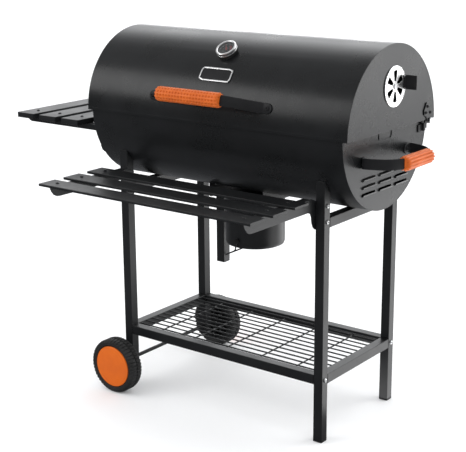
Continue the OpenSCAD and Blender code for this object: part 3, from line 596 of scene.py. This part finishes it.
# end strap: foot on the end plate, a bend away from it, a slanted run, a bend at the grip's end
low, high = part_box("end_strap")
plate, bow, halfY = low.x + strap["thick"] / 2, middle("end_grip").x, (high.y - low.y) / 2
bends = [
    (plate, halfY - 0.029), (plate, halfY - 0.0045), (plate + 0.004, halfY - 0.0015),
    (plate + 0.028, halfY - 0.008), (plate + 0.058, halfY - 0.0215),
    (bow - 0.004, endHalf + 0.006), (bow, endHalf - 0.002), (bow, 0.0),
]
halfPath = rounded(bends, 4)
flat = np.concatenate([halfPath, (halfPath * [1, -1])[-2::-1]])
centre = middle("end_strap")
endPath = np.stack([flat[:, 0], centre.y + flat[:, 1], np.full(len(flat), centre.z)], 1)
run = np.concatenate([[0], np.cumsum(np.linalg.norm(np.diff(endPath, axis=0), axis=1))])
strapPiece("endStrap", "end_strap", "trolley", endPath, (0, 0, 1), np.minimum(run, run[-1] - run))
print("straps made")

# bolt and screw heads

headSides = 24
headShape = [  # share of the radius, share of the height, 1 where the ring follows the hexagon
    (1.0, 0.0, 0), (1.0, 0.18, 0), (0.97, 0.45, 0), (0.88, 0.72, 0), (0.72, 0.92, 0), (0.58, 1.0, 0),
    (0.5, 1.0, 1), (0.47, 0.96, 1), (0.46, 0.4, 1), (0.0, 0.36, 1),
]


def headsOf(node, apart=0.0125, levelGap=2e-5):
    # each separate head of a node: its seat, its axis out of the seat, its radius and its height
    spots = np.unique(np.round(np.array([v.co for v in nodes[node].data.vertices]), 6), axis=0)
    found = []
    while len(spots):
        near = np.linalg.norm(spots - spots[0], axis=1) < apart
        part, spots = spots[near], spots[~near]
        _, vectors = np.linalg.eigh(np.cov((part - part.mean(0)).T))
        best = None
        for k in range(3):  # the axis is the way in which all points lie at few levels
            levels = np.unique(np.round(part @ vectors[:, k], 5))
            if best is None or len(levels) < best[0]:
                best = (len(levels), vectors[:, k])
        axis = best[1]
        level = part @ axis
        rims = [part[np.abs(level - v) < levelGap] for v in (level.min(), level.max())]
        sizes = [np.linalg.norm(rim - rim.mean(0), axis=1).max() for rim in rims]
        seat = 0 if sizes[0] > sizes[1] else 1
        axis = axis if seat == 0 else -axis
        found.append((rims[seat].mean(0), axis, sizes[seat], level.max() - level.min()))
    return found


def sixSided(a):
    # distance from the middle to the side of a hexagon, over the distance to its corner
    return cos(pi / 6) / np.cos((a + pi / 6) % (pi / 3) - pi / 6)


def heads(name, node, body, slotName):
    # domed head with a six-sided socket: headShape turned round, its last rings drawn in to the hexagon
    parts = []
    a = np.arange(headSides) * 2 * pi / headSides
    wide, tall, inSocket = np.array(headShape).T[:, :, None]
    for seat, axis, radius, height in headsOf(node):
        r = wide * radius * np.where(inSocket > 0, sixSided(a), 1.0)
        h = tall * height * np.ones(headSides)
        grid = np.stack([r * np.cos(a), r * np.sin(a), h], -1).reshape(-1, 3)
        turn = Vector((0, 0, 1)).rotation_difference(Vector(axis)).to_matrix().to_4x4()
        place = Matrix.Translation(Vector(seat)) @ turn
        parts.append((moved(grid, place), gridFaces(len(headShape), headSides)))
    points, faces = joined(parts)
    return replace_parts(asMesh(name, points, faces, body, slotName, join=2e-6), node)


heads("frameBolts", "frame_bolts", "trolley", "zinc_steel")
heads("endHandleBolts", "end_bolts", "trolley", "black_steel")
heads("lidHandleBolts", "lid_bolts", "lid", "black_steel")
heads("hingeBolts", "hinge_bolts", "lid", "black_steel")
heads("frontShelfScrews", "front_screws", "trolley", "frame_paint")
heads("sideShelfScrews", "side_screws", "trolley", "frame_paint")
print("heads made")

# badge rim: a rounded rectangle bent round the lid

badge = {
    "width": 0.096, "height": 0.037, "corner": 0.006, "tilt": 35.4, "rim": 0.0038, "rimHigh": 0.0012,
    "proud": 0.0021, "closest": 2e-4,
}
outline = roundRect(badge["width"] - badge["rim"], badge["height"] - badge["rim"],
                    badge["corner"] - badge["rim"] / 2, 9)
steps = np.linspace(0, 1, 12, endpoint=False)[None, :, None]
loop = (outline[:, None] * (1 - steps) + np.roll(outline, -1, 0)[:, None] * steps).reshape(-1, 2)
loop = loop[np.linalg.norm(loop - np.roll(loop, 1, 0), axis=1) > badge["closest"]]
away = lidRadius + badge["proud"]
bent = np.stack([loop[:, 0], away * np.sin(loop[:, 1] / away), away * np.cos(loop[:, 1] / away)], 1)
outwards = np.array(onLid(badge["tilt"]))[:3, 2]
rimSection = roundRect(badge["rimHigh"], badge["rim"], 0.0005, 3)
rim = swept(moved(bent, onLid(badge["tilt"])), rimSection, outwards, closed=True)
asMesh("badgeRim", *rim, "lid", "bright_chrome")

# thermometer: rolled bezel over a stepped collar, printed dial behind glass

dial = {
    "tilt": 54.7, "radius": 0.0229, "seat": 0.009, "sides": 96,
    "bezelRadius": 0.027, "roll": 0.0029, "rollHigh": 0.003,
}
outer, roll = dial["bezelRadius"], dial["roll"]
place = onLid(dial["tilt"]) @ Matrix.Translation((0, 0, lidRadius + dial["seat"]))
t = np.linspace(-0.35, pi - 0.2, 15)
bezelProfile = [
    (outer - 0.0018, -0.001), (outer, -0.001), (outer, 0.0005), (outer - 0.0006, 0.0009),
    (outer - 0.0006, 0.0016), (outer - 0.0001, 0.0022),
    *[(outer - roll + roll * cos(v), 0.006 + dial["rollHigh"] * sin(v)) for v in t],
    (outer - 0.0045, 0.0064), (outer - 0.0019, 0.006),
]
points, _ = revolved(bezelProfile, dial["sides"], place)
faces = gridFaces(len(bezelProfile), dial["sides"], wrapRows=True)
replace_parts(asMesh("thermoBezel", points, faces, "lid", "bright_chrome"), "thermo_bezel")
finishes["dial_black"] = dialFace("dial_black", place.translation, radians(dial["tilt"]), dial["radius"])
finishes["dial_glass"] = clearGlass("dial_glass")

# vent: a rolled lip round the damper disc

vent = {"lip": 0.0013, "inset": 0.0014, "sunk": 0.0002, "around": 128, "across": 16}
low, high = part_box("damper_disc")
lipAt = (high.z - low.z) / 2 - vent["inset"]
t = np.linspace(0, 2 * pi, vent["across"], endpoint=False)
lip = [(lipAt + vent["lip"] * cos(v), vent["lip"] * sin(v)) for v in t]
centre = middle("damper_disc")
place = Matrix.Translation((high.x - vent["sunk"], centre.y, centre.z)) @ alongX
points, _ = revolved(lip, vent["around"], place)
faces = gridFaces(vent["across"], vent["around"], wrapRows=True)
asMesh("damperLip", points, faces, "damper", "bright_chrome")
print("badge, thermometer and vent made")

# wire bail of the ash pot: an open eye at each end, legs bent inwards, one rounded bow

bail = {"wire": 0.002, "eye": 0.0048, "play": 0.0002, "inset": 0.0025, "eyeSteps": 14}
low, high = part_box("pot_bail")
pin = Vector(next(joint["pos_m"] for joint in frame["joints"] if joint["name"] == "bail_swing"))
reach = high.y - pin.y - bail["inset"]
lift = bail["wire"] + bail["play"]
tip = Vector((low.x + lift, 0, low.z + lift)) - pin
a = np.radians(np.linspace(60, 268, bail["eyeSteps"]))
eye = np.stack([bail["eye"] * np.cos(a) * -1, np.full(len(a), reach), bail["eye"] * np.sin(a)], 1)
leg = np.array([
    [-0.0012, reach, -0.008], [-0.0036, reach, -0.024], [-0.0075, reach - 0.003, -0.0285],
    [tip.x + 0.006, 0.012, tip.z + 0.003], [tip.x, 0.006, tip.z], [tip.x, 0.0, tip.z],
])
half = np.concatenate([eye, rounded(leg, 3)])
whole = np.concatenate([half, (half * [1, -1, 1])[-2::-1]]) + np.array(pin)
wireRound = roundRect(2 * bail["wire"], 2 * bail["wire"], bail["wire"] * 0.999, 4)
points, faces = swept(whole, wireRound, (0.6, 0.02, -0.8))
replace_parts(asMesh("potBail", points, triangulated(faces), "bail", "black_steel"), "pot_bail")
print("bail made")

# finishes on the carried-over nodes

for part in frame["record"]["subparts"]:
    mesh = nodes[part["node"]].data
    mesh.materials.clear()
    mesh.materials.append(finishes[part["material_slot"]])
nodes["badge_plate"].data.materials[0] = finishes["black_steel"]  # dark field inside the bright rim

softened = {  # width in metres of the rounding on corners of tube and folded sheet
    0.002: ["leg_front_right", "leg_rear_right", "leg_front_left", "leg_rear_left", "upper_rails",
            "shelf_rails_long", "shelf_rails_side", "hanger_post"],
    0.0018: ["front_slats", "side_slats"],
    0.0012: ["foot_caps"],
    0.001: ["damper_tab"],
    0.0009: ["front_brackets", "side_brackets"],
    0.0006: ["hinge_plates"],
}
for width, names in softened.items():
    for name in names:
        weld = nodes[name].modifiers.new("joined", "WELD")
        weld.merge_threshold = 1e-5
        bevel = nodes[name].modifiers.new("rounded", "BEVEL")
        bevel.width = width
        bevel.segments = 2
        bevel.limit_method = "ANGLE"
        bevel.angle_limit = radians(50)
        bevel.harden_normals = True
        bevel.use_clamp_overlap = True

# floor

plain = {
    "half": 60.0, "tones": (grey(0.93), grey(0.95)), "roughness": 0.6, "specular": 0.1,
    # painted reflection: the floor's colour as seen in reflections off the paint, darker than its real pale tone
    "mirrored": (0.14, 0.143, 0.15, 1),  # darker where the paint reflects it
}
half = plain["half"]
floorMesh = bpy.data.meshes.new("floor")
corners = [(-half, -half, 0), (half, -half, 0), (half, half, 0), (-half, half, 0)]
floorMesh.from_pydata(corners, [], [(0, 1, 2, 3)])
floorPiece = bpy.data.objects.new("floor", floorMesh)
bpy.context.scene.collection.objects.link(floorPiece)
pale, tree, shader = startMaterial("paleFloor")
tone = blendColour(tree, noise(tree, ownPlace(tree), 1.5, 3.0), *plain["tones"])
# painted reflection: glossy rays see the floor in the darker colour, which darkens its reflection in the paint;
# camera and diffuse rays see the pale tone
seenInPaint = put(tree, "ShaderNodeLightPath").outputs["Is Glossy Ray"]
tree.links.new(blendColour(tree, seenInPaint, tone, plain["mirrored"]), shader.inputs["Base Color"])
shader.inputs["Roughness"].default_value = plain["roughness"]
shader.inputs["Specular IOR Level"].default_value = plain["specular"]
floorMesh.materials.append(pale)

# studio: even light for all but reflections, which see a wall that brightens to the back and above
# and a bright band low down at the far side

room = {
    "ambient": 1.30, "dim": 0.34, "bright": 1.9, "backFrom": 0.2, "backTo": 0.75,
    "lowShare": 0.42, "highShare": 1.5, "riseFrom": 0.22, "riseTo": 0.42,
    "band": 3.8, "bandTop": 0.20, "bandFull": 0.04, "bandFrom": 0.6, "bandTo": 0.8,
    "tint": (0.985, 0.995, 1.01, 1),
}
world = bpy.data.worlds.new("studio")
bpy.context.scene.world = world
world.use_nodes = True
tree = world.node_tree
back = tree.nodes["Background"]
way = put(tree, "ShaderNodeSeparateXYZ", Vector=put(tree, "ShaderNodeTexCoord").outputs["Generated"])
wayBack, wayUp = way.outputs[1], way.outputs[2]
wall = rangeOf(tree, wayBack, room["backFrom"], room["backTo"], room["dim"], room["bright"], True)
climb = rangeOf(tree, wayUp, room["riseFrom"], room["riseTo"], room["lowShare"], room["highShare"], True)
lowDown = rangeOf(tree, wayUp, room["bandTop"], room["bandFull"], 0.0, room["band"], True)
farBack = rangeOf(tree, wayBack, room["bandFrom"], room["bandTo"], smooth=True)
mirrored = calc(tree, "ADD", product(tree, wall, climb), product(tree, lowDown, farBack))
glossy = put(tree, "ShaderNodeLightPath").outputs["Is Glossy Ray"]
direct = product(tree, calc(tree, "SUBTRACT", 1.0, glossy), room["ambient"])
tree.links.new(calc(tree, "ADD", product(tree, glossy, mirrored), direct), back.inputs["Strength"])
back.inputs["Color"].default_value = room["tint"]


def softbox(name, place, aim, wide, tall, power):
    lamp = bpy.data.lights.new(name, "AREA")
    lamp.shape = "RECTANGLE"
    lamp.size, lamp.size_y = wide, tall
    lamp.energy = power
    made = bpy.data.objects.new(name, lamp)
    made.location = place
    made.rotation_euler = (Vector(aim) - Vector(place)).to_track_quat("-Z", "Y").to_euler()
    bpy.context.scene.collection.objects.link(made)
    return made


softbox("keyRight", place=(2.7, 2.5, 1.25), aim=(0.3, 0.0, 0.65), wide=2.6, tall=2.3, power=55)
softbox("bandLeft", place=(-2.3, -2.5, 2.35), aim=(0.0, 0.0, 0.85), wide=2.0, tall=1.7, power=34)
card = softbox("floorCard", place=(1.5, 1.45, 0.004), aim=(1.5, 1.45, 1.0), wide=2.7, tall=2.7, power=58)
card.visible_camera = False
card.visible_diffuse = False

shot = {
    "place": (1.8613, -2.3052, 1.2881), "lens": 90.8, "shift": (-0.0043, 0.0004),
    "right": (0.79736, 0.60346, -0.00640), "up": (-0.15478, 0.21472, 0.96434),
    "back": (0.58332, -0.76794, 0.26461),
}
lens = bpy.data.cameras.new("camera")
lens.lens, lens.sensor_width = shot["lens"], 36.0
lens.shift_x, lens.shift_y = shot["shift"]
lens.clip_start, lens.clip_end = 0.05, 200.0
camera = bpy.data.objects.new("camera", lens)
turn = Matrix((shot["right"], shot["up"], shot["back"])).transposed().to_4x4()
camera.matrix_world = Matrix.Translation(shot["place"]) @ turn
bpy.context.scene.collection.objects.link(camera)
bpy.context.scene.camera = camera
bpy.context.scene.view_settings.view_transform = "Standard"
print("room ready")

bpy.context.view_layer.update()
